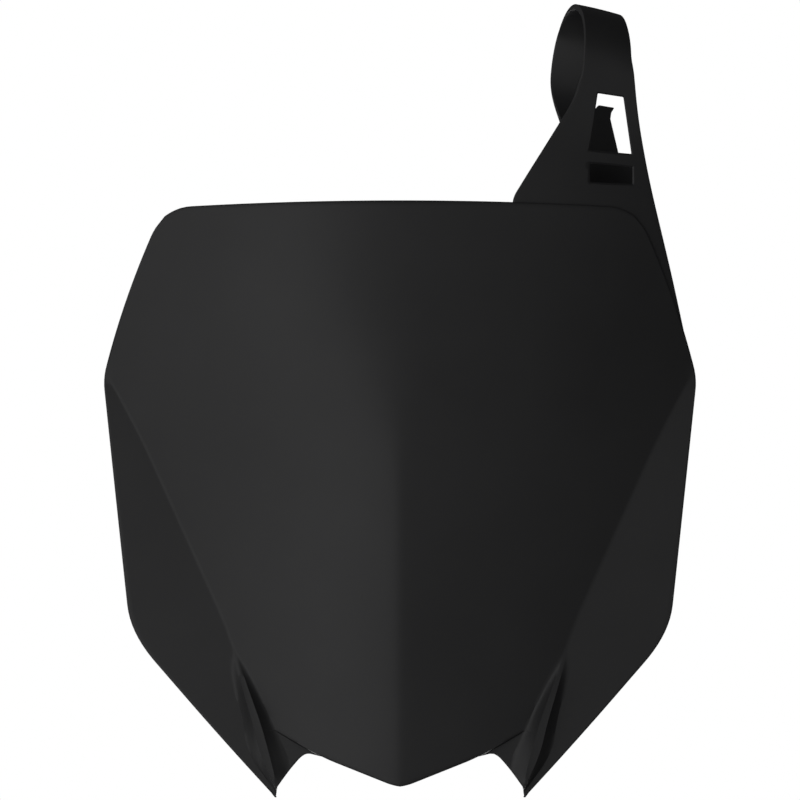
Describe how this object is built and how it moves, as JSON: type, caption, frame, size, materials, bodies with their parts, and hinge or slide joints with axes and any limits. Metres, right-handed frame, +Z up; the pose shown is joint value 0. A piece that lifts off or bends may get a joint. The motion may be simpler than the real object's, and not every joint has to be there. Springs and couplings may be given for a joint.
{
  "type": "racing number board",
  "caption": "Front number board of an off-road motorcycle: a keeled shell with side wings and pointed lower tusks, a slotted tab, and a strap that loops over the handlebar.",
  "frame": {"origin": "middle of the bolt hole in the lug behind the shell", "axes": "+Z up along the bolt hole, -Y the way the board faces, +X to the right of someone facing the board"},
  "size_m": [0.25, 0.0977, 0.3353],
  "materials": {
    "board_plastic": "satin"
  },
  "bodies": {
    "root": {"number_board": "board_plastic"}
  },
  "joints": []
}
